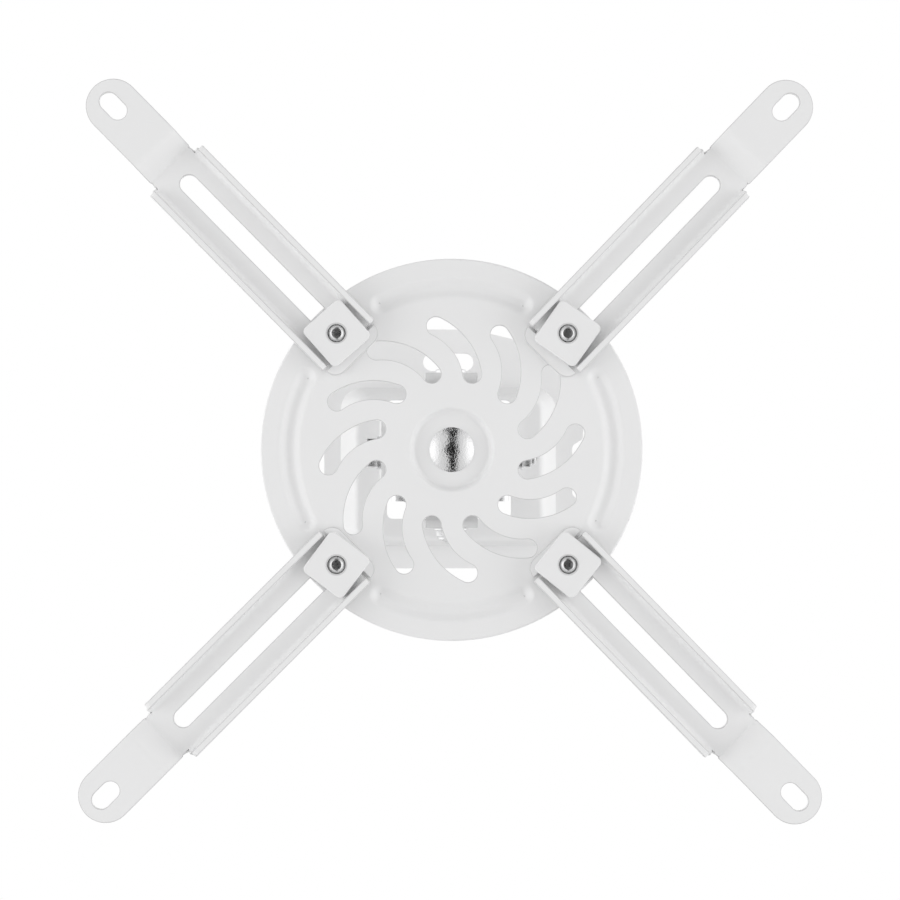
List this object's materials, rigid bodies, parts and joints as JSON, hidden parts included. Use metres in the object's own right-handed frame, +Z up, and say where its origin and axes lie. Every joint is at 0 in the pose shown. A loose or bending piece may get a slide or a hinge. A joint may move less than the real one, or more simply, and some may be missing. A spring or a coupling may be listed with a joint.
{
  "type": "projector ceiling mount",
  "caption": "White steel ceiling mount for a projector: bracket, tilting and rolling hub, turning pierced disc and slotted channel arms clamped on the disc.",
  "frame": {"origin": "where the swivel axis meets the ceiling face", "axes": "+Z up into the ceiling, +X right and +Y front as the mount is seen from below"},
  "size_m": [0.2536, 0.2554, 0.075],
  "materials": {
    "white_powder_coat": "fine powder coat",
    "zinc_plate": "bright zinc",
    "chrome": "polished",
    "nylon": "natural nylon"
  },
  "bodies": {
    "bracket": {"ceiling_bracket": "white_powder_coat", "pitch_bolt": "zinc_plate", "pitch_head_washer": "zinc_plate", "pitch_nut_washer": "zinc_plate", "pitch_locknut": "zinc_plate", "pitch_friction_washer_left": "nylon", "pitch_friction_washer_right": "nylon"},
    "cradle": {"tilt_cradle": "zinc_plate"},
    "yoke": {"roll_bolt": "zinc_plate", "roll_head_washer": "zinc_plate", "roll_nut_washer": "zinc_plate", "roll_locknut": "zinc_plate", "roll_friction_washer_rear": "nylon", "roll_friction_washer_front": "nylon", "hub_yoke": "white_powder_coat", "swivel_bolt": "chrome", "swivel_friction_washer": "nylon", "swivel_washer": "zinc_plate", "swivel_locknut": "zinc_plate"},
    "disc": {"hub_disc": "white_powder_coat"},
    "clamp_rear_left": {"clamp_plate_rear_left": "white_powder_coat", "clamp_screw_rear_left": "zinc_plate", "clamp_washer_rear_left": "zinc_plate"},
    "arm_rear_left": {"arm_rear_left": "white_powder_coat"},
    "clamp_rear_right": {"clamp_plate_rear_right": "white_powder_coat", "clamp_screw_rear_right": "zinc_plate", "clamp_washer_rear_right": "zinc_plate"},
    "arm_rear_right": {"arm_rear_right": "white_powder_coat"},
    "clamp_front_right": {"clamp_plate_front_right": "white_powder_coat", "clamp_screw_front_right": "zinc_plate", "clamp_washer_front_right": "zinc_plate"},
    "arm_front_right": {"arm_front_right": "white_powder_coat"},
    "clamp_front_left": {"clamp_plate_front_left": "white_powder_coat", "clamp_screw_front_left": "zinc_plate", "clamp_washer_front_left": "zinc_plate"},
    "arm_front_left": {"arm_front_left": "white_powder_coat"}
  },
  "joints": [
    {"name": "pitch", "type": "hinge", "parent": "bracket", "child": "cradle", "pos_m": [0, 0, -0.025], "axis": [1, 0, 0], "range_deg": [-15, 15]},
    {"name": "roll", "type": "hinge", "parent": "cradle", "child": "yoke", "pos_m": [0, 0, -0.041], "axis": [0, 1, 0], "range_deg": [-15, 15]},
    {"name": "swivel", "type": "hinge", "parent": "yoke", "child": "disc", "pos_m": [0, 0, -0.065], "axis": [0, 0, 1], "continuous": true},
    {"name": "clamp_turn_rear_left", "type": "hinge", "parent": "disc", "child": "clamp_rear_left", "pos_m": [-0.03974, -0.03974, -0.066], "axis": [0, 0, 1], "range_deg": [-20, 20]},
    {"name": "arm_slide_rear_left", "type": "slide", "parent": "clamp_rear_left", "child": "arm_rear_left", "axis": [-0.7015, -0.7126, 0], "range_m": [-0.0214, 0.002]},
    {"name": "clamp_turn_rear_right", "type": "hinge", "parent": "disc", "child": "clamp_rear_right", "pos_m": [0.03974, -0.03974, -0.066], "axis": [0, 0, 1], "range_deg": [-20, 20]},
    {"name": "arm_slide_rear_right", "type": "slide", "parent": "clamp_rear_right", "child": "arm_rear_right", "axis": [0.694, -0.7199, 0], "range_m": [-0.0206, 0.0028]},
    {"name": "clamp_turn_front_right", "type": "hinge", "parent": "disc", "child": "clamp_front_right", "pos_m": [0.03974, 0.03974, -0.066], "axis": [0, 0, 1], "range_deg": [-20, 20]},
    {"name": "arm_slide_front_right", "type": "slide", "parent": "clamp_front_right", "child": "arm_front_right", "axis": [0.6972, 0.7169, 0], "range_m": [-0.023, 0.0004]},
    {"name": "clamp_turn_front_left", "type": "hinge", "parent": "disc", "child": "clamp_front_left", "pos_m": [-0.03974, 0.03974, -0.066], "axis": [0, 0, 1], "range_deg": [-20, 20]},
    {"name": "arm_slide_front_left", "type": "slide", "parent": "clamp_front_left", "child": "arm_front_left", "axis": [-0.7077, 0.7065, 0], "range_m": [-0.0231, 0.0003]}
  ]
}
